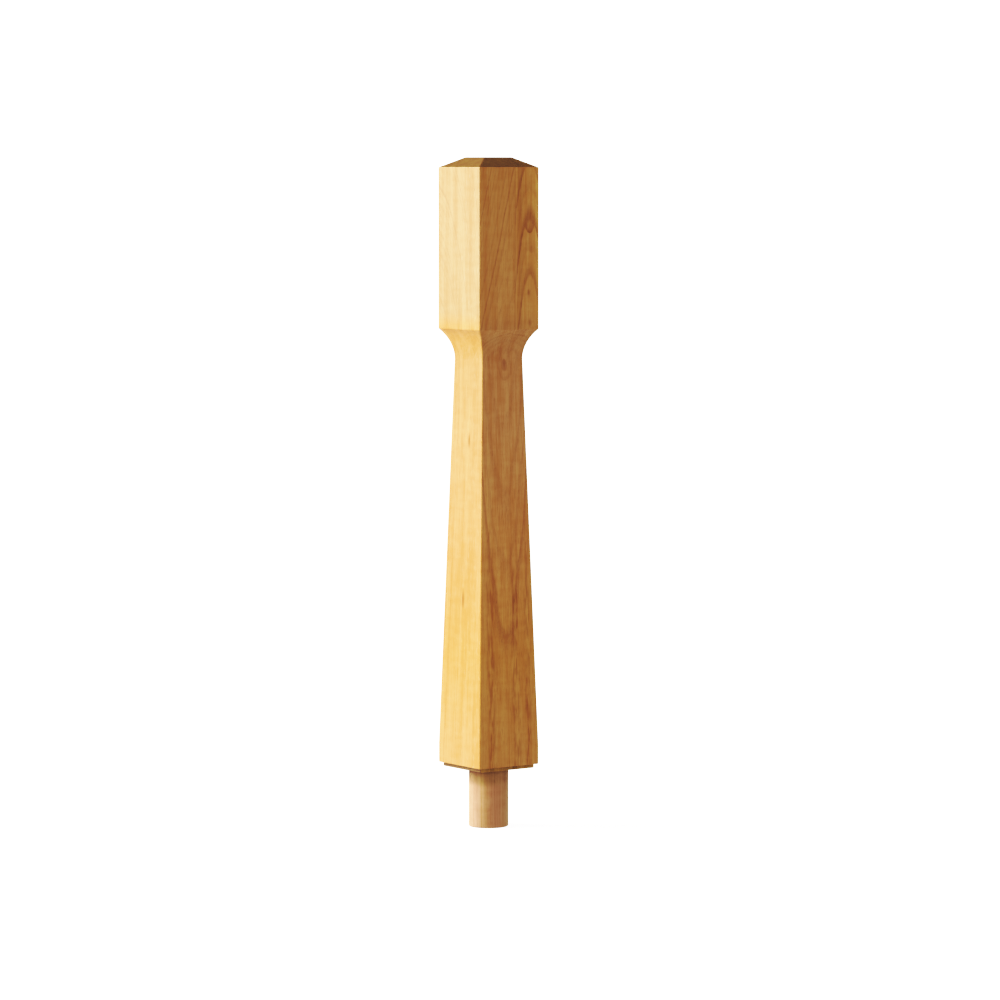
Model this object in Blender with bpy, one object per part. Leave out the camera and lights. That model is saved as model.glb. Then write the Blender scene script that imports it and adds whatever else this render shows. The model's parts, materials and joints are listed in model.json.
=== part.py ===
"""A short square newel post for a staircase: a square oak body with a low weathered cap, a cove, and a
shaft that tapers out to its foot, standing on a round peg that fits the bore of a newel base.

Units are metres, +Z is up. The origin is the middle of the peg's lower end, and the post's four faces
look along X and Y.
"""

import math

import bmesh
import bpy

# The post as a whole
POST_WIDTH = 0.091
POST_LENGTH = 0.762
ARRIS_RADIUS = 0.002
ARRIS_STEPS = 4

# The weathered cap, cut on the top of the post
CAP_RISE = 0.0125
CAP_FLAT_WIDTH = 0.042

# The square block, and the cove under it
BLOCK_LENGTH = 0.2015
COVE_HEIGHT = 0.038
COVE_STEPS = 14
NECK_WIDTH = 0.0615

# The parallel foot, and the step set back under it
FOOT_LENGTH = 0.025
STEP_HEIGHT = 0.005
STEP_SETBACK = 0.0042

# The round peg: the length that shows, and the length glued into the body
SPIGOT_DIAMETER = 0.050
SPIGOT_LENGTH = 0.075
SPIGOT_HIDDEN_LENGTH = 0.060
SPIGOT_CHAMFER = 0.0015
SPIGOT_SIDES = 48
GLUE_GAP = 0.0003
BORE_END_ROOM = 0.002

# Levels, from the peg's lower end upwards
SHOULDER_Z = SPIGOT_LENGTH
FOOT_BOTTOM_Z = SHOULDER_Z + STEP_HEIGHT
FOOT_TOP_Z = FOOT_BOTTOM_Z + FOOT_LENGTH
CAP_TOP_Z = FOOT_BOTTOM_Z + POST_LENGTH
BLOCK_TOP_Z = CAP_TOP_Z - CAP_RISE
BLOCK_BOTTOM_Z = BLOCK_TOP_Z - BLOCK_LENGTH
NECK_Z = BLOCK_BOTTOM_Z - COVE_HEIGHT

# How far the bore's cutter runs out below the body, so that the cut is clean
CUTTER_OVERRUN = 0.010


def clear_scene():
    """Remove every object, so that the script starts from an empty scene."""
    for obj in list(bpy.data.objects):
        bpy.data.objects.remove(obj)


def make_material(name, colour, roughness):
    """A plain Principled material for one kind of wood."""
    material = bpy.data.materials.new(name)
    material.use_nodes = True
    shader = material.node_tree.nodes["Principled BSDF"]
    shader.inputs["Base Color"].default_value = (*colour, 1.0)
    shader.inputs["Roughness"].default_value = roughness
    shader.inputs["Metallic"].default_value = 0.0
    material.diffuse_color = (*colour, 1.0)
    return material


def square_ring(mesh, width, z, radius):
    """Vertices of one level of the post: a square with its corners eased to a radius."""
    centre = width / 2 - radius
    ring = []
    for quarter in range(4):
        turn = math.radians(90 * quarter)
        for step in range(ARRIS_STEPS + 1):
            angle = math.radians(90) * step / ARRIS_STEPS
            x = centre + radius * math.cos(angle)
            y = centre + radius * math.sin(angle)
            ring.append(
                mesh.verts.new(
                    (
                        x * math.cos(turn) - y * math.sin(turn),
                        x * math.sin(turn) + y * math.cos(turn),
                        z,
                    )
                )
            )
    return ring


def skin(mesh, lower, upper):
    """Faces between two levels, facing outwards."""
    count = len(lower)
    for i in range(count):
        j = (i + 1) % count
        mesh.faces.new((lower[i], lower[j], upper[j], upper[i]))


def cove_levels():
    """(width, z) down the cove: an arc that is upright at the neck and meets the block at its arris."""
    depth = (POST_WIDTH - NECK_WIDTH) / 2
    radius = (depth**2 + COVE_HEIGHT**2) / (2 * depth)
    sweep = math.asin(COVE_HEIGHT / radius)
    levels = []
    for step in range(COVE_STEPS + 1):
        angle = sweep * step / COVE_STEPS
        inward = radius * (1 - math.cos(angle))
        levels.append((NECK_WIDTH + 2 * inward, NECK_Z + radius * math.sin(angle)))
    return levels


def post_levels():
    """(width, z) of the body from the step under the foot to the flat on the cap."""
    step_width = POST_WIDTH - 2 * STEP_SETBACK
    levels = [(step_width, SHOULDER_Z), (step_width, FOOT_BOTTOM_Z)]
    levels += [(POST_WIDTH, FOOT_BOTTOM_Z), (POST_WIDTH, FOOT_TOP_Z)]
    levels += cove_levels()
    levels += [(POST_WIDTH, BLOCK_TOP_Z), (CAP_FLAT_WIDTH, CAP_TOP_Z)]
    return levels


def make_bore_cutter():
    """The round cutter for the peg's blind bore, which runs out below the body."""
    radius = SPIGOT_DIAMETER / 2 + GLUE_GAP
    depth = SPIGOT_HIDDEN_LENGTH + BORE_END_ROOM
    length = depth + CUTTER_OVERRUN
    mesh = bmesh.new()
    bmesh.ops.create_cone(
        mesh,
        cap_ends=True,
        segments=SPIGOT_SIDES,
        radius1=radius,
        radius2=radius,
        depth=length,
    )
    data = bpy.data.meshes.new("bore_cutter")
    mesh.to_mesh(data)
    mesh.free()
    cutter = bpy.data.objects.new("bore_cutter", data)
    bpy.context.collection.objects.link(cutter)
    cutter.location.z = SHOULDER_Z + depth - length / 2
    cutter.hide_render = True
    cutter.display_type = "WIRE"
    return cutter


def make_body(material):
    """The post's body, skinned level by level, with the peg's bore cut into its underside."""
    mesh = bmesh.new()
    rings = [square_ring(mesh, width, z, ARRIS_RADIUS) for width, z in post_levels()]
    for lower, upper in zip(rings, rings[1:]):
        skin(mesh, lower, upper)
    mesh.faces.new(list(reversed(rings[0])))
    mesh.faces.new(rings[-1])
    data = bpy.data.meshes.new("newel_body")
    mesh.to_mesh(data)
    mesh.free()
    data.shade_smooth()
    data.set_sharp_from_angle(angle=math.radians(24))
    data.materials.append(material)
    body = bpy.data.objects.new("newel_body", data)
    bpy.context.collection.objects.link(body)

    cutter = make_bore_cutter()
    cutter.parent = body
    bore = body.modifiers.new("bore for the peg", "BOOLEAN")
    bore.operation = "DIFFERENCE"
    bore.object = cutter
    return body


def make_spigot(material):
    """The round peg, with both of its rims chamfered."""
    length = SPIGOT_LENGTH + SPIGOT_HIDDEN_LENGTH
    mesh = bmesh.new()
    bmesh.ops.create_cone(
        mesh,
        cap_ends=True,
        segments=SPIGOT_SIDES,
        radius1=SPIGOT_DIAMETER / 2,
        radius2=SPIGOT_DIAMETER / 2,
        depth=length,
    )
    rims = [edge for edge in mesh.edges if edge.verts[0].co.z * edge.verts[1].co.z > 0]
    bmesh.ops.bevel(mesh, geom=rims, offset=SPIGOT_CHAMFER, segments=2, affect="EDGES")
    data = bpy.data.meshes.new("spigot")
    mesh.to_mesh(data)
    mesh.free()
    data.shade_smooth()
    data.set_sharp_from_angle(angle=math.radians(24))
    data.materials.append(material)
    spigot = bpy.data.objects.new("spigot", data)
    bpy.context.collection.objects.link(spigot)
    spigot.location.z = length / 2
    return spigot


def main():
    clear_scene()
    lacquered_oak = make_material("lacquered_oak", (0.56, 0.33, 0.14), 0.42)
    bare_oak = make_material("bare_oak", (0.62, 0.42, 0.24), 0.62)
    body = make_body(lacquered_oak)
    spigot = make_spigot(bare_oak)
    spigot.parent = body


main()
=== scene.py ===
# %% [markdown]
# # A short square newel post in oak
#
# A newel post stands at the foot or the turn of a staircase and carries the handrail. This one is square
# oak: a low weathered cap, a plain block for the handrail, a cove that takes the block in to a neck, and a
# shaft that widens again down to its foot. A round peg under the foot drops into the bore of a newel base.
#
# The measured post is there already, as two plain solids. This lesson gives each of them a finer mesh of the
# same size, and then oak that is worked out in three dimensions, so that each cut through the wood shows its
# own side of the grain. The sizes could be typed in again here. They are read from the solids instead, so
# that the fine post and the measured one can never drift apart.

# %% Load the measured post
import json
import math

import bmesh
import bpy
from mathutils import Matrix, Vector

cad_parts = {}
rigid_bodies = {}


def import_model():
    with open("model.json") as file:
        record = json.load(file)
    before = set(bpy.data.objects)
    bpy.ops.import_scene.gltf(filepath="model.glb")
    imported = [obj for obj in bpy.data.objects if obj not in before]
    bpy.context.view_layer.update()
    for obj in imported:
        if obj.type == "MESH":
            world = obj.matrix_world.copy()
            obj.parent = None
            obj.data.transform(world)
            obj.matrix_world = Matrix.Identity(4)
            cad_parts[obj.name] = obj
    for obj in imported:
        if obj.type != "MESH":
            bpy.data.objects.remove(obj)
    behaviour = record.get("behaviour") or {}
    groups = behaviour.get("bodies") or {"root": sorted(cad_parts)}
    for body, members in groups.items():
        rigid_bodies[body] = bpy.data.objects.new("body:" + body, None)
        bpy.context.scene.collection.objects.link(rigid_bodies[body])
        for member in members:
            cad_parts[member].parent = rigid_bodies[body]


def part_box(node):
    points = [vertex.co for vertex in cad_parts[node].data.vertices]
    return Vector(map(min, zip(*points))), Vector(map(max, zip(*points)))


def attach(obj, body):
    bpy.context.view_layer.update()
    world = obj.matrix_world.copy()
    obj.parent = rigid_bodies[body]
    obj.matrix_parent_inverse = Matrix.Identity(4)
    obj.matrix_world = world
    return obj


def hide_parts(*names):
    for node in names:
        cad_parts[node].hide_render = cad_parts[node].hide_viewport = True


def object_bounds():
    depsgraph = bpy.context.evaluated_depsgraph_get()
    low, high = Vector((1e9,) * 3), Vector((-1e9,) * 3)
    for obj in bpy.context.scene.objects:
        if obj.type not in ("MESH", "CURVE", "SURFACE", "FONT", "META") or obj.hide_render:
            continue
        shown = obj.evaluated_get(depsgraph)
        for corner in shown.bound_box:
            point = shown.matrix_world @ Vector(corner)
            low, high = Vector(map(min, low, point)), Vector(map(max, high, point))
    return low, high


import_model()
cad_low, cad_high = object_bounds()
body_low, body_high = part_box("newel_body")
peg_low, peg_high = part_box("spigot")
for solid in bpy.data.objects:
    solid.select_set(False)
print("post", [round(side, 4) for side in body_high - body_low])
print("peg", [round(side, 4) for side in peg_high - peg_low])

# %% [markdown]
# ## The view
#
# The post is looked at from a long way off with a long lens, a little to the left of its front, with the
# eye just under the cap. So the front arris stands left of the middle, the front face shows wide, the left
# face shows narrow, and upright edges stay nearly parallel. A camera can be aimed with a constraint. Here
# its turn is worked out once from the place of the eye and the point that it looks at, because both are
# plain numbers that can be changed one at a time.

# %% Place the camera
VIEW_AZIMUTH = math.radians(-35.15)
VIEW_DISTANCE = 5.481
EYE_HEIGHT = 0.8353
AIM_HEIGHT = 0.4126
AIM_ASIDE = 0.0144
LENS_MM = 157.5
SENSOR_MM = 36.0
SEES_AS_FAR_AS = 100.0

toward_viewer = Vector((math.sin(VIEW_AZIMUTH), -math.cos(VIEW_AZIMUTH), 0.0))
viewer_right = Vector((math.cos(VIEW_AZIMUTH), math.sin(VIEW_AZIMUTH), 0.0))
eye = toward_viewer * VIEW_DISTANCE + Vector((0.0, 0.0, EYE_HEIGHT))
aim = viewer_right * AIM_ASIDE + Vector((0.0, 0.0, AIM_HEIGHT))

bpy.ops.object.camera_add(location=eye, rotation=(aim - eye).to_track_quat("-Z", "Y").to_euler())
camera = bpy.context.object
camera.name = "viewer"
camera.data.lens = LENS_MM
camera.data.sensor_width = SENSOR_MM
camera.data.clip_end = SEES_AS_FAR_AS
bpy.context.scene.camera = camera
print("eye", [round(v, 3) for v in eye])

# %% [markdown]
# ## The light
#
# The left face is bright and the front face lies in shade, with no hard edge to any shadow: that is one
# large soft source, low on the left. An area lamp close by could do it, but it would fade down the post and
# leave a grey patch on the paper behind. A sun lamp with a wide spread is as soft and fades nowhere.

# %% Light the left face with one soft lamp
LAMP_AZIMUTH = math.radians(-127.0)
LAMP_RISE = math.radians(28.0)
LAMP_SPREAD = math.radians(34.0)
LAMP_LIGHT = 4.15
LAMP_COLOUR = (1.0, 0.97, 0.69)
LAMP_DISTANCE = 4.0

lamp_way = Vector(
    (
        math.sin(LAMP_AZIMUTH) * math.cos(LAMP_RISE),
        -math.cos(LAMP_AZIMUTH) * math.cos(LAMP_RISE),
        math.sin(LAMP_RISE),
    )
)
bpy.ops.object.light_add(type="SUN", location=lamp_way * LAMP_DISTANCE)
lamp = bpy.context.object
lamp.name = "soft_lamp"
lamp.rotation_euler = (-lamp_way).to_track_quat("-Z", "Y").to_euler()
lamp.data.energy = LAMP_LIGHT
lamp.data.angle = LAMP_SPREAD
lamp.data.color = LAMP_COLOUR
print("lamp toward", [round(v, 2) for v in lamp_way])

# %% [markdown]
# The shaded face keeps its colour because light comes back to it from the room. A few weak lamps could stand
# for that. Here the sky around the post does it: an even dim light, and on top of it one soft glow where a
# wall would throw light back and one where a table top would. It costs no lamps and leaves no highlights.

# %% Choose how much light the room gives back
ROOM_LIGHT = 0.345
WALL_GLOW = 0.20
WALL_WAY = (0.77, 0.64, 0.0)
TABLE_GLOW = 0.60
TABLE_WAY = (-0.82, 0.12, -0.56)
TABLE_STARTS = 0.4

world = bpy.data.worlds.new("studio")
bpy.context.scene.world = world
world.use_nodes = True
room = world.node_tree
room.nodes.clear()
way = room.nodes.new("ShaderNodeTexCoord")


def glow(toward, starts, strength):
    """Light that grows from nothing, where a direction starts to face the glow, to its strength."""
    facing = room.nodes.new("ShaderNodeVectorMath")
    facing.operation = "DOT_PRODUCT"
    facing.inputs[1].default_value = toward
    room.links.new(way.outputs["Generated"], facing.inputs[0])
    rise = room.nodes.new("ShaderNodeMapRange")
    rise.inputs["From Min"].default_value = starts
    rise.inputs["To Max"].default_value = strength
    room.links.new(facing.outputs["Value"], rise.inputs["Value"])
    return rise.outputs["Result"]


both = room.nodes.new("ShaderNodeMath")
both.operation = "ADD"
room.links.new(glow(WALL_WAY, 0.0, WALL_GLOW), both.inputs[0])
room.links.new(glow(TABLE_WAY, TABLE_STARTS, TABLE_GLOW), both.inputs[1])
total = room.nodes.new("ShaderNodeMath")
total.operation = "ADD"
total.inputs[1].default_value = ROOM_LIGHT
room.links.new(both.outputs["Value"], total.inputs[0])
print("room light from", ROOM_LIGHT, "to", ROOM_LIGHT + TABLE_GLOW)

# %% [markdown]
# Behind the post there is nothing but white. A white wall could be built and lit, but it would have to be
# far away and very evenly lit. The sky can do both jobs at once: rays that come straight from the camera see
# plain white, and all the others see the dim room.

# %% Show the camera a white backdrop
BACKDROP = 2.2
WHITE = (1.0, 1.0, 1.0, 1.0)

dim = room.nodes.new("ShaderNodeBackground")
room.links.new(total.outputs["Value"], dim.inputs["Strength"])
white = room.nodes.new("ShaderNodeBackground")
white.inputs["Strength"].default_value = BACKDROP
for sky in (dim, white):
    sky.inputs["Color"].default_value = WHITE
seen = room.nodes.new("ShaderNodeLightPath")
either = room.nodes.new("ShaderNodeMixShader")
out = room.nodes.new("ShaderNodeOutputWorld")
room.links.new(seen.outputs["Is Camera Ray"], either.inputs["Fac"])
room.links.new(dim.outputs["Background"], either.inputs[1])
room.links.new(white.outputs["Background"], either.inputs[2])
room.links.new(either.outputs["Shader"], out.inputs["Surface"])
print("sky nodes", len(room.nodes))

# %% [markdown]
# A photograph has more contrast than the light itself: its shadows go down faster, and its brightest tones
# are held back just short of white. The wood could be coloured darker to imitate that, but it would then be
# wrong in any other light. One curve over the finished picture leaves the wood alone.

# %% Give the picture a photograph's contrast
BRIGHTEST = 1.6
TONES = (
    (0.0, 0.0),
    (0.061, 0.035),
    (0.133, 0.145),
    (0.223, 0.335),
    (0.57, 0.705),
    (0.94, 0.905),
    (BRIGHTEST, 1.0),
)

view = bpy.context.scene.view_settings
view.view_transform = "Standard"
view.look = "None"
view.use_curve_mapping = True
view.curve_mapping.white_level = (BRIGHTEST, BRIGHTEST, BRIGHTEST)
tone_curve = view.curve_mapping.curves[3]
for _ in range(len(TONES) - 2):
    tone_curve.points.new(0.5, 0.5)
for point, (light, shown) in zip(tone_curve.points, TONES):
    point.location = (light / BRIGHTEST, shown)
    point.handle_type = "AUTO_CLAMPED"
view.curve_mapping.update()
print("tone curve points", len(tone_curve.points))

# %% [markdown]
# The post stands on white paper that runs into the backdrop without a line. A curved sweep of paper could be
# modelled. One large flat sheet with a little light of its own is simpler, and its far edge is lost in the
# white. It throws no light on the post, because the room's own glow already stands for that.

# %% Lay a sheet of white paper
FLOOR_SIDE = 60.0
FLOOR_GLOW = 1.25
PAPER = (0.8, 0.8, 0.8, 1.0)
PAPER_ROUGHNESS = 0.9

bpy.ops.mesh.primitive_plane_add(size=FLOOR_SIDE, location=(0.0, 0.0, cad_low.z))
floor = bpy.context.object
floor.name = "floor"
floor.visible_diffuse = False
floor.visible_glossy = False
paper = bpy.data.materials.new("white_paper")
paper.use_nodes = True
sheet = paper.node_tree.nodes["Principled BSDF"]
sheet.inputs["Base Color"].default_value = PAPER
sheet.inputs["Roughness"].default_value = PAPER_ROUGHNESS
sheet.inputs["Emission Color"].default_value = WHITE
sheet.inputs["Emission Strength"].default_value = FLOOR_GLOW
floor.data.materials.append(paper)
print("floor at", round(cad_low.z, 4))

# %% [markdown]
# ## The body
#
# On the real post the body is one length of glued-up oak, planed square and then moulded on all four sides.
# The solid says how long, wide and high it is; the lengths between, such as the block, the cove and the
# foot, can be counted down from the top or up from the bottom. They are counted from the cap's flat, because
# the length of a newel is given from there.

# %% Sizes of the moulding, read from the solid where it holds them
POST_WIDTH = body_high.x - body_low.x
POST_LENGTH = 0.762
CAP_RISE = 0.0125
CAP_FLAT_WIDTH = 0.042
BLOCK_LENGTH = 0.2015
COVE_HEIGHT = 0.038
NECK_WIDTH = 0.0615
FOOT_LENGTH = 0.025
STEP_SETBACK = 0.0042

shoulder_z = body_low.z
cap_top_z = body_high.z
foot_bottom_z = cap_top_z - POST_LENGTH
foot_top_z = foot_bottom_z + FOOT_LENGTH
block_top_z = cap_top_z - CAP_RISE
block_bottom_z = block_top_z - BLOCK_LENGTH
neck_z = block_bottom_z - COVE_HEIGHT
print("levels", [round(z, 4) for z in (shoulder_z, foot_bottom_z, foot_top_z, neck_z, block_bottom_z)])

# %% [markdown]
# The outline of the post changes only in width from one height to the next. It could be drawn as a profile
# and spun in four steps, or built from a stack of boxes. Here one flat face is raised: extruded to the next
# height and resized there. Whatever corners that face has ride up with it, so the long arrises are rounded
# all the way, as sandpaper leaves them, by rounding four corners once.


# %% Two helpers for modelling
def deselect_all():
    """Leave nothing selected, so that the next operator acts on the new piece alone."""
    for other in bpy.context.selected_objects:
        other.select_set(False)


def raise_face(level, width, z):
    """Extrude the selected face to a new height and width, and return that level."""
    old_width, old_z = level
    bpy.ops.mesh.extrude_region_move(TRANSFORM_OT_translate={"value": (0.0, 0.0, z - old_z)})
    share = width / old_width
    bpy.ops.transform.resize(value=(share, share, 1.0), center_override=(0.0, 0.0, z))
    return width, z


# %% Draw the foot's outline with rounded corners
ARRIS_RADIUS = 0.002
ARRIS_STEPS = 6

deselect_all()
bpy.ops.mesh.primitive_plane_add(size=POST_WIDTH, location=(0.0, 0.0, foot_bottom_z))
post = bpy.context.object
post.name = "oak_post"
bpy.ops.object.transform_apply(location=True, rotation=True, scale=True)
bpy.ops.object.mode_set(mode="EDIT")
bpy.ops.mesh.select_all(action="SELECT")
bpy.ops.mesh.bevel(offset=ARRIS_RADIUS, segments=ARRIS_STEPS, affect="VERTICES")
bpy.ops.mesh.select_all(action="SELECT")
print("outline", post.name)

# %% [markdown]
# The foot is a short parallel plinth, and the shaft above it is a long straight taper in to the neck. Two
# levels would be enough for the taper. It gets more, because long thin faces shade less evenly than short
# ones.

# %% Raise the foot and the tapered shaft
TAPER_STEPS = 24

level = (POST_WIDTH, foot_bottom_z)
level = raise_face(level, POST_WIDTH, foot_top_z)
for step in range(1, TAPER_STEPS + 1):
    share = step / TAPER_STEPS
    width = POST_WIDTH + (NECK_WIDTH - POST_WIDTH) * share
    level = raise_face(level, width, foot_top_z + (neck_z - foot_top_z) * share)
print("neck at", round(level[1], 4))

# %% [markdown]
# The cove is the hollow that takes the neck out to the block, cut with a round-nosed cutter. It leaves the
# shaft upright and meets the block at a crisp edge, so it is one arc whose centre lies level with the neck.
# Its radius follows from how deep and how high it is. A bevel could round a straight slope instead, but it
# would round both ends and lose the crisp edge.

# %% Sweep the cove out to the block
COVE_STEPS = 40

cove_depth = (POST_WIDTH - NECK_WIDTH) / 2
cove_radius = (cove_depth**2 + COVE_HEIGHT**2) / (2 * cove_depth)
cove_sweep = math.asin(COVE_HEIGHT / cove_radius)
for step in range(1, COVE_STEPS + 1):
    angle = cove_sweep * step / COVE_STEPS
    width = NECK_WIDTH + 2 * cove_radius * (1 - math.cos(angle))
    level = raise_face(level, width, neck_z + cove_radius * math.sin(angle))
print("cove radius", round(cove_radius, 4))

# %% [markdown]
# The block stays square for the handrail, and its top is weathered: four low slopes run up to a small flat,
# so that nothing rests on it and no end grain lies level at the edges. A cone would give the slopes too, but
# more levels of the same face are enough. The edge of the flat has been sanded over, so the last of the
# slope lies at half the angle.

# %% Raise the block and slope the cap
CAP_EASE = 0.0006

cap_slope = CAP_RISE / ((POST_WIDTH - CAP_FLAT_WIDTH) / 2)
level = raise_face(level, POST_WIDTH, block_top_z)
level = raise_face(level, CAP_FLAT_WIDTH + 2 * CAP_EASE, cap_top_z - CAP_EASE * cap_slope)
level = raise_face(level, CAP_FLAT_WIDTH - 2 * CAP_EASE, cap_top_z)
bpy.ops.object.mode_set(mode="OBJECT")
print("faces", len(post.data.polygons))

# %% [markdown]
# Under the foot the wood steps in by a few millimetres, which leaves a thin shadow line over the newel base
# and hides a gap that isn't quite even. A second box could be cut away there. It is simpler to take the one
# face that looks down, make it narrower and draw it downwards.

# %% Step the underside back
DOWNWARD = -0.99

bpy.ops.object.mode_set(mode="EDIT")
bpy.ops.mesh.select_all(action="SELECT")
bpy.ops.mesh.normals_make_consistent(inside=False)
bpy.ops.mesh.select_all(action="DESELECT")
bpy.ops.mesh.select_mode(type="FACE")
shape = bmesh.from_edit_mesh(post.data)
for face in shape.faces:
    face.select_set(face.normal.z < DOWNWARD)
bmesh.update_edit_mesh(post.data)
step_width = POST_WIDTH - 2 * STEP_SETBACK
level = raise_face((POST_WIDTH, foot_bottom_z), step_width, foot_bottom_z)
level = raise_face(level, step_width, shoulder_z)
bpy.ops.object.mode_set(mode="OBJECT")
print("step", round(step_width, 4), "wide")

# %% [markdown]
# The peg is glued into a blind hole. An auger makes that hole in the wood, and a cylinder with a Boolean
# modifier makes it in the mesh. The hole is a hair wider and deeper than the peg, for the glue, so the two
# pieces never share a surface. The cylinder overruns the underside, because a cutter that ends exactly on a
# face leaves scraps behind.

# %% Cut the bore for the peg
PEG_CLEARANCE = 0.0003
BORE_ROOM = 0.002
OVERRUN = 0.01
BORE_SIDES = 96

peg_radius = (peg_high.x - peg_low.x) / 2
bore_top = peg_high.z + BORE_ROOM
deselect_all()
bpy.ops.mesh.primitive_cylinder_add(
    vertices=BORE_SIDES,
    radius=peg_radius + PEG_CLEARANCE,
    depth=bore_top - shoulder_z + OVERRUN,
    location=(0.0, 0.0, (bore_top + shoulder_z - OVERRUN) / 2),
)
auger = bpy.context.object
deselect_all()
post.select_set(True)
bpy.context.view_layer.objects.active = post
bore = post.modifiers.new("bore", "BOOLEAN")
bore.operation = "DIFFERENCE"
bore.object = auger
bpy.ops.object.modifier_apply(modifier=bore.name)
bpy.data.objects.remove(auger)
print("bore up to", round(bore_top, 4))

# %% [markdown]
# No edge on sanded wood is perfectly sharp: each one has a narrow rounded line that catches the light. The
# edges could be picked by hand. A Bevel modifier with an angle limit finds every sharp one by itself, and
# passes over the low steps of the cove. Faces that meet at a low angle are then shaded smooth, so that the
# cove reads as one curve and the edges stay crisp. Smooth shading bends the light on the wide faces too,
# where they meet a narrow rounded one; weighting the normals by area keeps the wide faces flat.

# %% Ease the sharp edges and shade the curves smooth
EDGE_EASE = 0.0008
EASE_OVER = math.radians(32.0)
EASE_STEPS = 3
SMOOTH_UNDER = math.radians(22.0)

ease = post.modifiers.new("eased edges", "BEVEL")
ease.width = EDGE_EASE
ease.segments = EASE_STEPS
ease.limit_method = "ANGLE"
ease.angle_limit = EASE_OVER
bpy.ops.object.modifier_apply(modifier=ease.name)
bpy.ops.object.shade_smooth_by_angle(angle=SMOOTH_UNDER)
flatten = post.modifiers.new("flat wide faces", "WEIGHTED_NORMAL")
flatten.keep_sharp = True
bpy.ops.object.modifier_apply(modifier=flatten.name)
print("post", len(post.data.polygons), "faces")

# %% [markdown]
# ## The peg
#
# The peg is a plain turned dowel. It is glued into its bore, and only its lower part shows. A circle could
# be spun or a curve given thickness; a cylinder is already the right shape, once it has enough sides that
# its outline looks round.

# %% Turn the peg
PEG_SIDES = 128

deselect_all()
bpy.ops.mesh.primitive_cylinder_add(
    vertices=PEG_SIDES,
    radius=peg_radius,
    depth=peg_high.z - peg_low.z,
    location=(0.0, 0.0, (peg_high.z + peg_low.z) / 2),
)
peg = bpy.context.object
peg.name = "round_peg"
bpy.ops.object.transform_apply(location=True, rotation=True, scale=True)
print("peg radius", round(peg_radius, 4))

# %% [markdown]
# The ends of a dowel are rounded over so that it finds its hole and doesn't splinter. Only the two rims are
# to be rounded, and not the upright edges between the sides. The rims are the edges that lie level, so they
# can be picked by comparing the heights of their two ends.

# %% Round over both ends of the peg
PEG_RIM = 0.0015
RIM_STEPS = 4
PEG_SMOOTH_UNDER = math.radians(30.0)

bpy.ops.object.mode_set(mode="EDIT")
bpy.ops.mesh.select_all(action="DESELECT")
shape = bmesh.from_edit_mesh(peg.data)
for edge in shape.edges:
    heights = [corner.co.z for corner in edge.verts]
    edge.select_set(abs(heights[0] - heights[1]) < PEG_RIM)
bmesh.update_edit_mesh(peg.data)
bpy.ops.mesh.bevel(offset=PEG_RIM, segments=RIM_STEPS, affect="EDGES")
bpy.ops.object.mode_set(mode="OBJECT")
bpy.ops.object.shade_smooth_by_angle(angle=PEG_SMOOTH_UNDER)
print("peg", len(peg.data.polygons), "faces")

# %% [markdown]
# ## Oak
#
# Oak is drawn by its growth rings, which are tubes around the pith of the tree. A picture of oak could be
# laid over the post, but then the grain would stop at each edge. Here each point of the wood knows how far
# it is from a pith line behind the back face. A flat cut then shows long arches, the cove shows closed
# rings, and the top shows arcs, all from one rule. The node trees for that are long, so they are put
# together with a few small functions, each of them one or two nodes.


# %% Helpers that add one node
def plug(tree, socket, value):
    """Feed a node's input from another node's output, or set it to a plain number or colour."""
    if isinstance(value, bpy.types.NodeSocket):
        tree.links.new(value, socket)
    elif isinstance(value, (tuple, list)) and len(value) == 3 and socket.type == "RGBA":
        socket.default_value = (*value, 1.0)
    else:
        socket.default_value = value


def sums(tree, operation, first, second=0.0, third=0.0):
    """One Math node."""
    node = tree.nodes.new("ShaderNodeMath")
    node.operation = operation
    for socket, value in zip(node.inputs, (first, second, third)):
        plug(tree, socket, value)
    return node.outputs["Value"]


def between(tree, value, low, high, out_low=0.0, out_high=1.0):
    """A smooth step: out_low under low, out_high over high."""
    node = tree.nodes.new("ShaderNodeMapRange")
    node.interpolation_type = "SMOOTHSTEP"
    for name, given in (
        ("Value", value),
        ("From Min", low),
        ("From Max", high),
        ("To Min", out_low),
        ("To Max", out_high),
    ):
        plug(tree, node.inputs[name], given)
    return node.outputs["Result"]


def blend(tree, share, first, second, way="MIX"):
    """A mix of two colours."""
    node = tree.nodes.new("ShaderNodeMix")
    node.data_type = "RGBA"
    node.blend_type = way
    plug(tree, node.inputs[0], share)
    plug(tree, node.inputs[6], first)
    plug(tree, node.inputs[7], second)
    return node.outputs[2]


# %% [markdown]
# Wood is much longer along the trunk than across it, and so are all its marks. A noise texture can be
# stretched with a Mapping node. Scaling each coordinate by itself says the same in waves per metre, which is
# easier to compare with a ruler on the wood. The values named WAVES below are such waves per metre, along
# x, y and z or along one line.


# %% Helpers for noise and for lengths
def stretched_noise(tree, x, y, z, per_metre, detail=2.0, roughness=0.5):
    """Noise with its own scale along each axis, from 0 to 1."""
    place = tree.nodes.new("ShaderNodeCombineXYZ")
    for socket, value, scale in zip(place.inputs, (x, y, z), per_metre):
        plug(tree, socket, sums(tree, "MULTIPLY", value, scale))
    node = tree.nodes.new("ShaderNodeTexNoise")
    node.inputs["Scale"].default_value = 1.0
    node.inputs["Detail"].default_value = detail
    node.inputs["Roughness"].default_value = roughness
    plug(tree, node.inputs["Vector"], place.outputs["Vector"])
    return node.outputs["Fac"]


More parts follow.
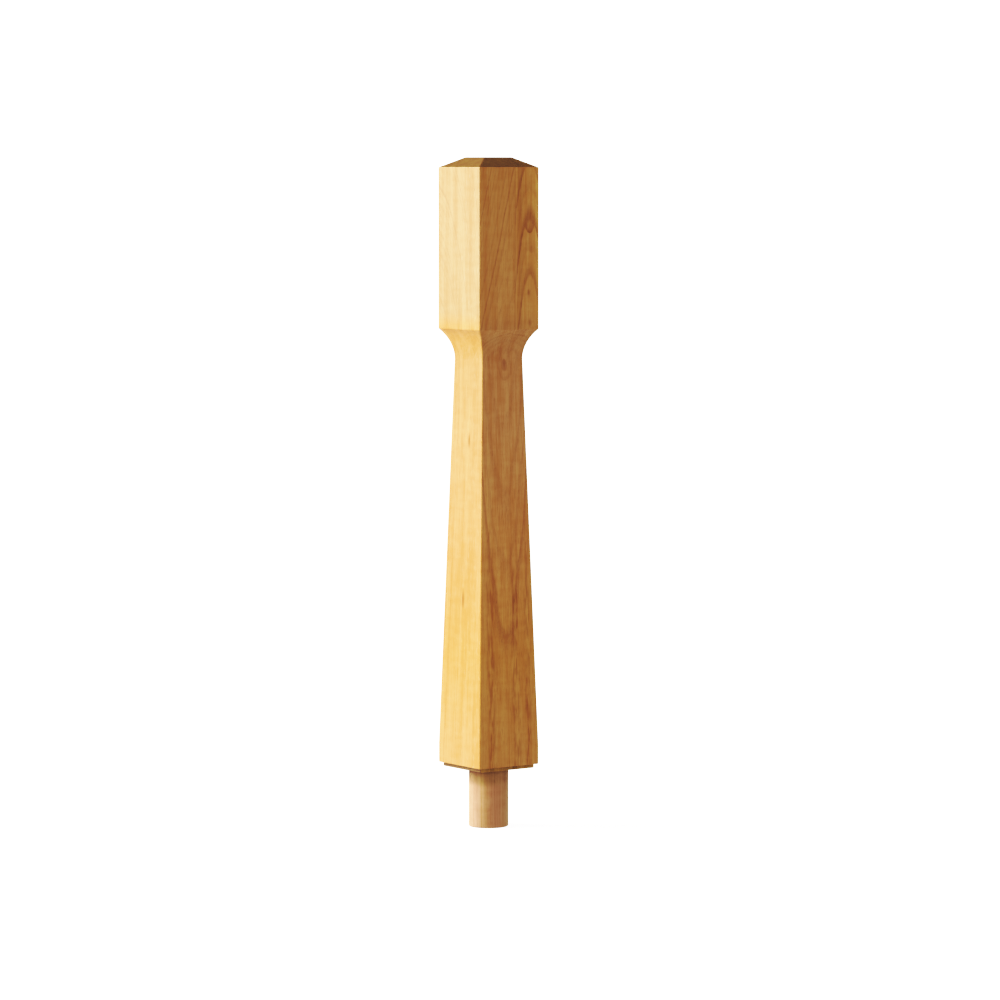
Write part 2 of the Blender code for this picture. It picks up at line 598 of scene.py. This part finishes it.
def line_noise(tree, value, per_metre, detail=1.0):
    """Noise along one number, from 0 to 1."""
    node = tree.nodes.new("ShaderNodeTexNoise")
    node.noise_dimensions = "1D"
    node.inputs["Scale"].default_value = 1.0
    node.inputs["Detail"].default_value = detail
    plug(tree, node.inputs["W"], sums(tree, "MULTIPLY", value, per_metre))
    return node.outputs["Fac"]


def centred(tree, noise, size):
    """Noise from 0 to 1, turned into a swing of plus or minus size."""
    return sums(tree, "MULTIPLY_ADD", noise, 2 * size, -size)


def length_of(tree, first, second):
    """The length of a flat vector."""
    squares = sums(tree, "MULTIPLY_ADD", first, first, sums(tree, "MULTIPLY", second, second))
    return sums(tree, "SQRT", squares)


# %% [markdown]
# Each year the tree adds one ring. It starts with a porous dark line and goes over slowly into dense pale
# wood, and some years are plainer than others. A wave texture in ring mode draws even circles. Counting the
# rings by hand, as the distance from the pith over the width of a ring, lets each ring wander, differ in
# width and differ in strength.

# %% Count the growth rings
RING_SPACING = 0.00275
RING_WANDER = 0.0010
RING_FEATHER = 0.00040
RING_UNEVEN = 0.55
RING_PEAK = 0.14
RING_PLAIN_FROM = 0.66
RING_FAINTEST = 0.12
WANDER_WAVES = (18, 18, 5)
RIPPLE_WAVES = (130, 130, 20)
FEATHER_WAVES = (1100, 1100, 38)
UNEVEN_WAVES = 95.0


def growth_rings(tree, x, y, z, radius):
    """The porous start of each ring, from 0 to 1."""
    wander = centred(tree, stretched_noise(tree, x, y, z, WANDER_WAVES), RING_WANDER)
    ripple = centred(tree, stretched_noise(tree, x, y, z, RIPPLE_WAVES), RING_WANDER / 3)
    feather = stretched_noise(tree, x, y, z, FEATHER_WAVES, detail=3.0, roughness=0.6)
    feather = centred(tree, feather, RING_FEATHER)
    ring_at = sums(tree, "ADD", sums(tree, "ADD", radius, wander), sums(tree, "ADD", ripple, feather))
    uneven = centred(tree, line_noise(tree, ring_at, UNEVEN_WAVES), RING_UNEVEN)
    count = sums(tree, "ADD", sums(tree, "DIVIDE", ring_at, RING_SPACING), uneven)
    part = sums(tree, "FRACT", count)
    year = tree.nodes.new("ShaderNodeTexWhiteNoise")
    year.noise_dimensions = "1D"
    plug(tree, year.inputs["W"], sums(tree, "FLOOR", count))
    strong = sums(tree, "POWER", year.outputs["Value"], 2.0)
    strength = sums(tree, "ADD", strong, RING_FAINTEST)
    rise = between(tree, part, 0.0, RING_PEAK)
    fall = between(tree, part, RING_PEAK, RING_PLAIN_FROM, 1.0, 0.0)
    return sums(tree, "MULTIPLY", sums(tree, "MULTIPLY", rise, fall), strength)


# %% [markdown]
# Two finer marks make it oak and not pine. Open pores crowd at the start of each ring and show as short dark
# dashes along the trunk. Rays are thin sheets that run from the pith outwards; they show as pale flecks
# where the surface lies along them. Both could be painted, but then they would not turn with the grain. The
# rays are noise over the angle round the pith, so that they do.

# %% Scatter pores and rays
PORE_WAVES = (2600, 2600, 120)
PORE_SHARES = (0.54, 0.66)
PORES_ANYWHERE = 0.15
RAY_WIDTH = 0.0010
RAY_DEPTH = 0.030
RAY_HEIGHT = 0.012
RAY_FROM_PITH = 0.09
RAY_SHARES = (0.58, 0.70)


def open_pores(tree, x, y, z, early):
    """Short dark dashes that crowd where a ring starts."""
    dashes = between(tree, stretched_noise(tree, x, y, z, PORE_WAVES, roughness=0.6), *PORE_SHARES)
    crowded = sums(tree, "MULTIPLY_ADD", early, 1 - PORES_ANYWHERE, PORES_ANYWHERE)
    return sums(tree, "MULTIPLY", dashes, crowded)


def ray_flecks(tree, across_x, across_y, radius, z):
    """Thin sheets that run from the pith outwards."""
    angle = sums(tree, "ARCTAN2", across_y, across_x)
    per_unit = (RAY_FROM_PITH / RAY_WIDTH, 1 / RAY_DEPTH, 1 / RAY_HEIGHT)
    return between(tree, stretched_noise(tree, angle, radius, z, per_unit), *RAY_SHARES)


# %% [markdown]
# All of that goes into one function, because the body and the peg are the same kind of wood. It gives masks
# from 0 to 1 and no colours, so that each finish can mix its own. Fibre is the finest streaking, broad is
# the slow change from paler to darker wood, and figure is the faint cross-banding that oak shows in a raking
# light. The trunk itself sways a little, since no tree is straight.

# %% Grow the grain
TRUNK_SWAY = 0.0015
SWAY_X_WAVES = (5, 5, 7)
SWAY_Y_WAVES = (5, 5, 9)
FIBRE_WAVES = (700, 700, 11)
BROAD_WAVES = (95, 95, 5)
FIGURE_WAVES = (45, 45, 120)
FIBRE_SHARE = 0.40
BROAD_SHARE = 0.42
FIGURE_SHARE = 0.18


def grain(tree, x, y, z, pith_x, pith_y, swell=0.0):
    """Masks of one board of oak, whose pith runs past the given place."""
    sway_x = centred(tree, stretched_noise(tree, x, y, z, SWAY_X_WAVES, detail=1.0), TRUNK_SWAY)
    sway_y = centred(tree, stretched_noise(tree, y, x, z, SWAY_Y_WAVES, detail=1.0), TRUNK_SWAY)
    x = sums(tree, "ADD", x, sway_x)
    y = sums(tree, "ADD", y, sway_y)
    across_x = sums(tree, "SUBTRACT", x, pith_x)
    across_y = sums(tree, "SUBTRACT", y, pith_y)
    radius = length_of(tree, across_x, across_y)
    early = growth_rings(tree, x, y, z, sums(tree, "ADD", radius, swell))
    return {
        "early": early,
        "pores": open_pores(tree, x, y, z, early),
        "fibre": stretched_noise(tree, x, y, z, FIBRE_WAVES, detail=4.0, roughness=0.65),
        "broad": stretched_noise(tree, x, y, z, BROAD_WAVES, detail=3.0),
        "figure": stretched_noise(tree, x, y, z, FIGURE_WAVES),
        "rays": ray_flecks(tree, across_x, across_y, radius, z),
        "across_x": across_x,
        "across_y": across_y,
        "radius": radius,
    }


def wood_tone(tree, oak, low, high):
    """How pale the plain wood is, from 0 to 1, between two strengths of its streaks."""
    tone = sums(tree, "MULTIPLY", oak["broad"], BROAD_SHARE)
    tone = sums(tree, "MULTIPLY_ADD", oak["fibre"], FIBRE_SHARE, tone)
    tone = sums(tree, "MULTIPLY_ADD", oak["figure"], FIGURE_SHARE, tone)
    return between(tree, tone, low, high)


# %% [markdown]
# ### The boards of the body
#
# The body is glued up from two boards, whose joint stands as an upright hairline right of the middle of the
# front. In the wide board the pith lies behind the back face, and above the neck it leans to the right, so
# the streaks of the block run up to the right. On the block the narrow board has its own pith, inside the
# wood and further back the higher up, so it shows small arches there. Two materials could be used, but then
# the mesh would have to be cut along the joint; asking which side of the joint a point lies on needs no cut.

# %% Lay out the boards
JOINT_X = 0.0085
JOINT_WIDTH = 0.0005
PITH_BACK = 0.061
LEAN_FROM = 0.585
LEAN = 0.25
NARROW_PITH_X = 0.031
NARROW_PITH_Y = -0.014
NARROW_PITH_SINKS = 0.075
NARROW_SHIFT = 0.7


def pick(tree, share, first, second):
    """A mix of two numbers."""
    return sums(tree, "MULTIPLY_ADD", sums(tree, "SUBTRACT", second, first), share, first)


def boards(tree, x, z):
    """Which points are the narrow board's block, the pith's x and y, and the height on their own board."""
    narrow = sums(tree, "GREATER_THAN", x, JOINT_X)
    narrow_block = sums(tree, "MULTIPLY", narrow, sums(tree, "GREATER_THAN", z, block_bottom_z))
    over_neck = sums(tree, "MAXIMUM", sums(tree, "SUBTRACT", z, LEAN_FROM), 0.0)
    over_cove = sums(tree, "MAXIMUM", sums(tree, "SUBTRACT", z, block_bottom_z), 0.0)
    sunk = sums(tree, "MULTIPLY_ADD", over_cove, NARROW_PITH_SINKS, NARROW_PITH_Y)
    pith_x = pick(tree, narrow_block, sums(tree, "MULTIPLY", over_neck, LEAN), NARROW_PITH_X)
    pith_y = pick(tree, narrow_block, PITH_BACK, sunk)
    own_z = sums(tree, "MULTIPLY_ADD", narrow, NARROW_SHIFT, z)
    return narrow_block, pith_x, pith_y, own_z


# %% [markdown]
# A twig that grew out of the trunk leaves a pin knot. The rings swell round it into small ovals, and its
# middle is dark. The front shows an eye on the neck and a few small ones up the narrow board of the block,
# and the left face shows two faint dark ticks. They could be left to chance, but they are the marks by which
# one tells this post from another. So each is listed: its place across the face and up the post, then half
# its width and half its height, in metres. A knot adds how far the rings swell round it, and how much of its
# size is dark core.

# %% Place the pin knots
FRONT_KNOTS = (
    (0.0020, 0.585, 0.014, 0.030, 0.0056, 0.25),
    (0.0310, 0.755, 0.008, 0.015, 0.0024, 0.75),
    (0.0330, 0.729, 0.005, 0.010, 0.0012, 0.70),
    (0.0295, 0.673, 0.006, 0.012, 0.0014, 0.75),
    (0.0310, 0.636, 0.005, 0.010, 0.0012, 0.75),
)
LEFT_TICKS = (
    (-0.001, 0.289, 0.0042, 0.018),
    (-0.006, 0.489, 0.0032, 0.014),
)
TICK_DARKNESS = 1.9


def oval(tree, across, z, middle, height, half_width, half_height):
    """An oval mark: 1 in its middle, 0 at its rim and outside."""
    sideways = sums(tree, "DIVIDE", sums(tree, "SUBTRACT", across, middle), half_width)
    upward = sums(tree, "DIVIDE", sums(tree, "SUBTRACT", z, height), half_height)
    return between(tree, length_of(tree, sideways, upward), 0.0, 1.0, 1.0, 0.0)


def pin_knots(tree, x, y, z):
    """How far the rings swell round the knots, and how dark the knots and ticks are."""
    front = sums(tree, "LESS_THAN", y, 0.0)
    left = sums(tree, "LESS_THAN", x, -NECK_WIDTH / 4)
    swell = 0.0
    dark = 0.0
    for middle, height, half_width, half_height, size, share in FRONT_KNOTS:
        whole = sums(tree, "MULTIPLY", oval(tree, x, z, middle, height, half_width, half_height), front)
        swell = sums(tree, "MULTIPLY_ADD", whole, size, swell)
        core = oval(tree, x, z, middle, height, half_width * share, half_height * share)
        dark = sums(tree, "MULTIPLY_ADD", core, front, dark)
    for middle, height, half_width, half_height in LEFT_TICKS:
        tick = sums(tree, "MULTIPLY", oval(tree, y, z, middle, height, half_width, half_height), left)
        dark = sums(tree, "MULTIPLY_ADD", tick, TICK_DARKNESS, dark)
    return swell, dark


# %% [markdown]
# The plain wood runs between a golden and a pale tone. The rings, the pores and the knots are darker brown,
# laid over it in turn. The rings are stronger round the knots and on the narrow board's block, and plainer
# where the surface slants. On the left side, which faces the lamp, they are painted plainer still: painted
# light that washes them out. Rays are paler than the wood where the surface lies along them and darker where
# they are cut across, so their colour depends on which way the surface faces. Each is a mix of two colours,
# so every one of them can be made stronger or weaker alone.

# %% Mix the colour of the wood
PALE = (0.74, 0.395, 0.160)
GOLDEN = (0.62, 0.290, 0.097)
BROWN = (0.36, 0.145, 0.042)
DARK = (0.17, 0.060, 0.018)
RAY_SHEEN = (0.80, 0.52, 0.27)
BODY_TONE = (0.39, 0.61)
RING_DARKNESS = 0.44
NARROW_RINGS = 0.16
KNOT_RINGS = 90.0
SLANT = (0.10, 0.45)
SLANT_RINGS = 0.45
# Painted light: rings are made weaker where the surface faces the lamp on the left.
LIT_SIDE_RINGS = 0.65
PORE_DARKNESS = 0.50
KNOT_DARKNESS = 0.52
QUARTER_SAWN = (0.25, 0.75)
RAY_STRENGTH = 0.28
LIT_SIDE_FULL = -0.70
LIT_SIDE_NONE = -0.45


def oak_colour(tree, oak, narrow_block, swell, knots, normal):
    """Plain wood, rings, pores, knots and rays."""
    normal_x, normal_y, normal_z = normal
    colour = blend(tree, wood_tone(tree, oak, *BODY_TONE), GOLDEN, PALE)
    rings = sums(tree, "MULTIPLY_ADD", swell, KNOT_RINGS, RING_DARKNESS)
    rings = sums(tree, "MULTIPLY_ADD", narrow_block, NARROW_RINGS, rings)
    slanted = between(tree, sums(tree, "ABSOLUTE", normal_z), *SLANT, 1.0, SLANT_RINGS)
    rings = sums(tree, "MULTIPLY", rings, slanted)
    # Painted light: the rings are weakened on surfaces that face the lamp on the left.
    left = between(tree, normal_x, LIT_SIDE_FULL, LIT_SIDE_NONE, LIT_SIDE_RINGS, 1.0)
    rings = sums(tree, "MULTIPLY", rings, left)
    colour = blend(tree, sums(tree, "MULTIPLY", oak["early"], rings), colour, BROWN)
    colour = blend(tree, sums(tree, "MULTIPLY", oak["pores"], PORE_DARKNESS), colour, DARK)
    colour = blend(tree, sums(tree, "MULTIPLY", knots, KNOT_DARKNESS), colour, BROWN)
    facing_x = sums(tree, "MULTIPLY", normal_x, oak["across_y"])
    facing_y = sums(tree, "MULTIPLY", normal_y, oak["across_x"])
    facing = sums(tree, "DIVIDE", sums(tree, "SUBTRACT", facing_y, facing_x), oak["radius"])
    quarter = between(tree, sums(tree, "ABSOLUTE", facing), *QUARTER_SAWN)
    ray_colour = blend(tree, quarter, BROWN, RAY_SHEEN)
    return blend(tree, sums(tree, "MULTIPLY", oak["rays"], RAY_STRENGTH), colour, ray_colour)


# %% [markdown]
# The narrow board has a dark band beside the joint and goes over into pale sapwood at its outer edge, and a
# thin pale line of glue shows along the joint itself. Darker flames run up the lower shaft. They all run
# straight up the board, so each is a band around one distance from the middle, with soft edges. Noise makes
# the dark band patchy and breaks the flames up.

# %% Streak the boards
BLOCK_STREAKS_FADE = (-0.02, 0.01)
PATCHES = (0.25, 0.60)
NARROW_TINT = (1.09, 1.12, 1.10)
DARK_BAND = (0.0160, 0.0036)
DARK_BAND_FAINTEST = 0.55
DARK_BAND_TINT = (0.78, 0.74, 0.68)
DARK_BAND_STRENGTH = 0.75
FLAMES = ((-0.0255, 0.0055), (0.0115, 0.0060), (0.0300, 0.0040))
FLAME_TINT = (0.77, 0.72, 0.65)
FLAME_WAVES = (280, 0, 36)
FLAME_SHARES = (0.42, 0.60)
FLAMES_END_Z = (0.30, 0.42)
GLUE_LINE = (0.0100, 0.0009)
GLUE_TOP_Z = 0.779
GLUE_STRENGTH = 0.55
SAPWOOD_FROM = 0.024
SAPWOOD_TINT = (1.25, 1.34, 1.42)
SAPWOOD_LOW = 0.45
JOINT_DARKNESS = 0.15
JOINT_DARKNESS_IN_BLOCK = 0.40


def band(tree, value, middle, half_width):
    """1 in the middle of a band, 0 outside, with soft edges."""
    far = sums(tree, "ABSOLUTE", sums(tree, "SUBTRACT", value, middle))
    return between(tree, far, half_width * 0.5, half_width * 1.5, 1.0, 0.0)


def streaked(tree, colour, oak, narrow_block, x, z):
    """The dark band, the flames, the glue line, the sapwood edge and the joint, over the wood."""
    colour = blend(tree, narrow_block, colour, NARROW_TINT, "MULTIPLY")
    block = between(tree, sums(tree, "SUBTRACT", z, block_bottom_z), *BLOCK_STREAKS_FADE)
    patchy = between(tree, oak["broad"], *PATCHES, DARK_BAND_FAINTEST, 1.0)
    dark_band = sums(tree, "MULTIPLY", band(tree, x, *DARK_BAND), sums(tree, "MULTIPLY", block, patchy))
    dark_band = sums(tree, "MULTIPLY", dark_band, DARK_BAND_STRENGTH)
    colour = blend(tree, dark_band, colour, DARK_BAND_TINT, "MULTIPLY")
    broken = between(tree, stretched_noise(tree, x, 0.0, z, FLAME_WAVES), *FLAME_SHARES)
    low = sums(tree, "MULTIPLY", between(tree, z, *FLAMES_END_Z, 1.0, 0.0), broken)
    for flame in FLAMES:
        share = sums(tree, "MULTIPLY", band(tree, x, *flame), low)
        colour = blend(tree, share, colour, FLAME_TINT, "MULTIPLY")
    glued = sums(tree, "MULTIPLY", block, sums(tree, "LESS_THAN", z, GLUE_TOP_Z))
    glue = sums(tree, "MULTIPLY", band(tree, x, *GLUE_LINE), glued)
    colour = blend(tree, sums(tree, "MULTIPLY", glue, GLUE_STRENGTH), colour, PALE)
    upward = between(tree, z, block_bottom_z, block_top_z, SAPWOOD_LOW, 1.0)
    sap = sums(tree, "MULTIPLY", between(tree, x, SAPWOOD_FROM, POST_WIDTH / 2), block)
    colour = blend(tree, sums(tree, "MULTIPLY", sap, upward), colour, SAPWOOD_TINT, "MULTIPLY")
    joint = band(tree, x, JOINT_X, JOINT_WIDTH)
    faint = sums(tree, "MULTIPLY_ADD", block, JOINT_DARKNESS_IN_BLOCK - JOINT_DARKNESS, JOINT_DARKNESS)
    return blend(tree, sums(tree, "MULTIPLY", joint, faint), colour, BROWN)


# %% [markdown]
# Boards fade unevenly: this post is yellower toward its foot and a little greyer at the block. The same ramp
# darkens the cove under the block all round, which is painted shade. The surfaces that look to the left,
# toward the lamp, get a second ramp of their own. It is painted light: it warms the lit shaft and brightens
# the lit cove, and on the block it also stands for the paler sapwood of the left side, nearly white at the
# top. The step under the foot is painted darker as the shade under the foot's overhang, and darker still on
# its left, where the lamp reaches it. One colour ramp over the height is multiplied into the wood, and a
# second one only where the surface looks to the left.

# %% Fade the wood, and paint light and shade, along the post
FADES = (
    (0.10, (1.05, 1.05, 0.96)),
    (0.26, (1.08, 1.05, 0.84)),
    (0.43, (1.11, 1.09, 1.07)),
    (0.60, (1.06, 1.08, 1.24)),
    (0.69, (1.00, 1.01, 1.13)),
    # This stop darkens the cove under the block all round: painted shade.
    (0.73, (0.86, 0.88, 0.95)),
    (0.77, (1.02, 1.04, 1.05)),
    (0.96, (0.95, 0.93, 0.84)),
)
# A tint for surfaces that face the lamp: painted light, and on the block also the paler sapwood of the left
# side.
LIT_SIDE_FADES = (
    (0.10, (1.01, 0.92, 0.91)),
    (0.40, (0.97, 0.88, 0.82)),
    (0.62, (1.00, 0.93, 0.79)),
    (0.69, (0.99, 0.95, 0.82)),
    # These three stops brighten the cove on the lamp's side: painted light.
    (0.71, (1.05, 0.96, 0.78)),
    (0.73, (1.28, 1.12, 0.83)),
    (0.75, (1.22, 1.11, 0.92)),
    (0.77, (0.95, 1.07, 1.30)),
    (0.96, (1.04, 1.20, 1.67)),
)
# Painted shade on the step under the foot, darker still on the side that faces the lamp.
PAINTED_STEP_SHADE = (0.80, 0.90, 0.72)
PAINTED_STEP_SHADE_LIT_SIDE = (0.375, 0.365, 0.60)
PAINTED_STEP_SHADE_EDGE = 0.0004


def along_height(tree, z, stops):
    """A tint that changes along the height; each stop is a share of the whole height, and a tint."""
    along = tree.nodes.new("ShaderNodeValToRGB")
    plug(tree, along.inputs["Fac"], sums(tree, "DIVIDE", z, cad_high.z))
    ramp = along.color_ramp
    while len(ramp.elements) < len(stops):
        ramp.elements.new(0.5)
    for stop, (height, tint) in zip(ramp.elements, stops):
        stop.position = height
        stop.color = (*tint, 1.0)
    return along.outputs["Color"]


def faded_and_painted_light(tree, colour, z, normal_x):
    """The wood with its changes along the height, painted light on the side that faces the lamp, and painted
    shade on the step.
    """
    colour = blend(tree, 1.0, colour, along_height(tree, z, FADES), "MULTIPLY")
    left = between(tree, normal_x, LIT_SIDE_FULL, LIT_SIDE_NONE, 1.0, 0.0)
    # Painted light on the surfaces that face the lamp.
    colour = blend(tree, left, colour, along_height(tree, z, LIT_SIDE_FADES), "MULTIPLY")
    # Painted shade on the step under the foot's overhang.
    step = between(tree, z, foot_bottom_z - 2 * PAINTED_STEP_SHADE_EDGE, foot_bottom_z - PAINTED_STEP_SHADE_EDGE / 2, 1.0, 0.0)
    colour = blend(tree, step, colour, PAINTED_STEP_SHADE, "MULTIPLY")
    return blend(tree, sums(tree, "MULTIPLY", step, left), colour, PAINTED_STEP_SHADE_LIT_SIDE, "MULTIPLY")


# %% [markdown]
# ### The finish of the body
#
# The body is lacquered: a thin clear satin coat that follows the wood, sunk a little at each pore. End grain
# drinks the lacquer and goes dark, so the slopes and the flat of the cap are much darker than the sides; the
# left slope, which faces the lamp, is painted a little paler, which is painted light. Which wood is end
# grain is known from the surface's normal alone: it looks up or down. A second material on those faces would
# do as well, but it would need a seam.

# %% Put the body's oak together
END_GRAIN_FROM = 0.72
END_GRAIN_FULL = 0.88
END_TINT = (0.252, 0.228, 0.045)
# The paler end-grain tint on the slope that faces the lamp is painted light.
LIT_SLOPE_END_TINT = (0.275, 0.256, 0.175)
LIT_SLOPE_FULL = -0.44
LIT_SLOPE_NONE = -0.20
ROUGHNESS = 0.40
PORE_ROUGHNESS = 0.25
END_ROUGHNESS = 0.35
RELIEF_DEPTH = 0.0002
RELIEF_STRENGTH = 0.35
RING_RELIEF = 0.35
FIBRE_RELIEF = 0.3
COAT = 0.15
COAT_ROUGHNESS = 0.3


def new_material(name):
    """A material with a Principled shader, and its tree, its place and its normal."""
    material = bpy.data.materials.new(name)
    material.use_nodes = True
    tree = material.node_tree
    coordinates = tree.nodes.new("ShaderNodeTexCoord")
    place = tree.nodes.new("ShaderNodeSeparateXYZ")
    tree.links.new(coordinates.outputs["Object"], place.inputs["Vector"])
    normal = tree.nodes.new("ShaderNodeSeparateXYZ")
    tree.links.new(coordinates.outputs["Normal"], normal.inputs["Vector"])
    return material, tree, place.outputs, normal.outputs


def surface(tree, height, strength):
    """Shallow relief, read from a height."""
    bump = tree.nodes.new("ShaderNodeBump")
    bump.inputs["Strength"].default_value = strength
    bump.inputs["Distance"].default_value = RELIEF_DEPTH
    plug(tree, bump.inputs["Height"], height)
    return bump.outputs["Normal"]


def lacquered_oak():
    """Oak under a satin lacquer, in two boards, with darker end grain."""
    material, tree, (x, y, z), normal = new_material("lacquered_oak")
    narrow_block, pith_x, pith_y, own_z = boards(tree, x, z)
    swell, knots = pin_knots(tree, x, y, z)
    oak = grain(tree, x, y, own_z, pith_x, pith_y, swell)
    colour = oak_colour(tree, oak, narrow_block, swell, knots, normal)
    colour = streaked(tree, colour, oak, narrow_block, x, z)
    colour = faded_and_painted_light(tree, colour, z, normal[0])
    end = between(tree, sums(tree, "ABSOLUTE", normal[2]), END_GRAIN_FROM, END_GRAIN_FULL)
    # Painted light: the end grain on the slope that faces the lamp gets the paler tint.
    lit_slope = between(tree, normal[0], LIT_SLOPE_FULL, LIT_SLOPE_NONE, 1.0, 0.0)
    colour = blend(tree, end, colour, blend(tree, lit_slope, END_TINT, LIT_SLOPE_END_TINT), "MULTIPLY")
    shader = tree.nodes["Principled BSDF"]
    plug(tree, shader.inputs["Base Color"], colour)
    rough = sums(tree, "MULTIPLY_ADD", oak["pores"], PORE_ROUGHNESS, ROUGHNESS)
    plug(tree, shader.inputs["Roughness"], sums(tree, "MULTIPLY_ADD", end, END_ROUGHNESS, rough))
    relief = sums(tree, "MULTIPLY", oak["early"], -RING_RELIEF)
    relief = sums(tree, "MULTIPLY_ADD", oak["pores"], -1.0, relief)
    relief = sums(tree, "MULTIPLY_ADD", oak["fibre"], FIBRE_RELIEF, relief)
    plug(tree, shader.inputs["Normal"], surface(tree, relief, RELIEF_STRENGTH))
    shader.inputs["Coat Weight"].default_value = COAT
    shader.inputs["Coat Roughness"].default_value = COAT_ROUGHNESS
    return material


post.data.materials.clear()
post.data.materials.append(lacquered_oak())
print("body oak", len(post.data.materials[0].node_tree.nodes), "nodes")

# %% [markdown]
# ### The finish of the peg
#
# The peg is left bare, because glue won't hold on lacquer, so it is paler, pinker and duller than the body.
# It is turned from another stick with the pith beside it, so its grain runs straight down, with a reddish
# band of heartwood down its front. Its left side, which faces the lamp, is painted paler: painted light.
# Under the shoulder the shade of the foot's overhang is painted on as a darker band, with a narrower darker
# one right under the shoulder: it ends softly, hides the heartwood, and is strongest on the left and weaker
# to the right. The same grain function is used, with its own colours.

# %% Put the peg's bare oak together
PEG_PALE = (0.73, 0.445, 0.240)
PEG_GOLDEN = (0.56, 0.300, 0.145)
PEG_RED = (0.42, 0.19, 0.085)
PEG_TONE = (0.36, 0.62)
PEG_RING_DARKNESS = 0.35
PEG_END_TINT = (0.55, 0.48, 0.42)
PEG_END_SHARES = (0.30, 0.88)
HEART = (-0.009, 0.011)
HEART_FAINTEST = 0.6
HEART_TINT = (0.92, 0.80, 0.84)
# Painted light on the peg's left side, which faces the lamp.
PEG_LIT_SIDE_TINT = (1.0, 1.0, 1.25)
PEG_LIT_SIDE = (-0.0245, -0.0205)
# Painted shade under the shoulder: a broad band, and a narrow darker one right under it.
PEG_PAINTED_SHADE_TINT = (0.62, 0.59, 0.50)
PEG_PAINTED_SHADE_LENGTH = 0.0195
PEG_PAINTED_SHADE_EDGE = 0.0050
PEG_CONTACT_SHADE_TINT = (0.80, 0.74, 0.74)
PEG_CONTACT_SHADE_LENGTH = 0.0055
PEG_CONTACT_SHADE_EDGE = 0.0015
PEG_SHADE_WAVER = 0.004
PEG_SHADE_FADES_ACROSS = (-0.020, 0.005)
PEG_SHADE_WEAKEST = 0.34
HEART_IN_PEG_SHADE = 0.1
PEG_ROUGHNESS = 0.6
PEG_PORE_ROUGHNESS = 0.2
PEG_RELIEF_STRENGTH = 0.4
PEG_PITH = (-0.05, 0.03)
PEG_SHIFT = 3.1


def bare_oak():
    """Turned oak with no lacquer."""
    material, tree, (x, y, z), normal = new_material("bare_oak")
    oak = grain(tree, x, y, sums(tree, "ADD", z, PEG_SHIFT), *PEG_PITH)
    colour = blend(tree, wood_tone(tree, oak, *PEG_TONE), PEG_GOLDEN, PEG_PALE)
    colour = blend(tree, sums(tree, "MULTIPLY", oak["early"], PEG_RING_DARKNESS), colour, PEG_RED)
    colour = blend(tree, sums(tree, "MULTIPLY", oak["pores"], PORE_DARKNESS), colour, DARK)
    patchy = between(tree, oak["broad"], *PATCHES, HEART_FAINTEST, 1.0)
    heart = sums(tree, "MULTIPLY", band(tree, x, *HEART), patchy)
    # The heartwood fades out where the shade under the shoulder is painted.
    peg_shade_z = shoulder_z - PEG_PAINTED_SHADE_LENGTH
    out_of_peg_shade = between(tree, z, peg_shade_z - PEG_PAINTED_SHADE_EDGE, peg_shade_z + PEG_PAINTED_SHADE_EDGE, 1.0, HEART_IN_PEG_SHADE)
    heart = sums(tree, "MULTIPLY", heart, out_of_peg_shade)
    colour = blend(tree, heart, colour, HEART_TINT, "MULTIPLY")
    # Painted light: the left side of the peg, toward the lamp, is made paler.
    lit_side = between(tree, x, *PEG_LIT_SIDE, 1.0, 0.0)
    colour = blend(tree, lit_side, colour, PEG_LIT_SIDE_TINT, "MULTIPLY")
    # Painted shade from the foot's overhang, in a broad band and a narrow darker one under the shoulder.
    peg_shade_height = sums(tree, "MULTIPLY_ADD", oak["broad"], PEG_SHADE_WAVER, z)
    peg_shade_share = between(tree, x, *PEG_SHADE_FADES_ACROSS, 1.0, PEG_SHADE_WEAKEST)
    for length, soft, tint in (
        (PEG_PAINTED_SHADE_LENGTH, PEG_PAINTED_SHADE_EDGE, PEG_PAINTED_SHADE_TINT),
        (PEG_CONTACT_SHADE_LENGTH, PEG_CONTACT_SHADE_EDGE, PEG_CONTACT_SHADE_TINT),
    ):
        edge_z = shoulder_z - length + PEG_SHADE_WAVER / 2
        peg_shade = sums(tree, "MULTIPLY", between(tree, peg_shade_height, edge_z - soft, edge_z + soft), peg_shade_share)
        colour = blend(tree, peg_shade, colour, tint, "MULTIPLY")
    end = between(tree, sums(tree, "ABSOLUTE", normal[2]), *PEG_END_SHARES)
    colour = blend(tree, end, colour, PEG_END_TINT, "MULTIPLY")
    shader = tree.nodes["Principled BSDF"]
    plug(tree, shader.inputs["Base Color"], colour)
    rough = sums(tree, "MULTIPLY_ADD", oak["pores"], PEG_PORE_ROUGHNESS, PEG_ROUGHNESS)
    plug(tree, shader.inputs["Roughness"], rough)
    relief = sums(tree, "MULTIPLY_ADD", oak["pores"], -1.0, oak["fibre"])
    plug(tree, shader.inputs["Normal"], surface(tree, relief, PEG_RELIEF_STRENGTH))
    return material


peg.data.materials.clear()
peg.data.materials.append(bare_oak())
print("peg oak", len(peg.data.materials[0].node_tree.nodes), "nodes")

# %% [markdown]
# ## The finished post
#
# Nothing moves on a newel post, so both pieces ride on the one body that the measured post has. Each fine
# piece takes the place of its plain solid, which is hidden, so that the parts list, the weights and the
# looks speak of the same two pieces.

# %% Join the pieces to the measured post
for piece, node, slot in ((post, "newel_body", "lacquered_oak"), (peg, "spigot", "bare_oak")):
    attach(piece, "root")
    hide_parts(node)
print("pieces", post.name, "and", peg.name)
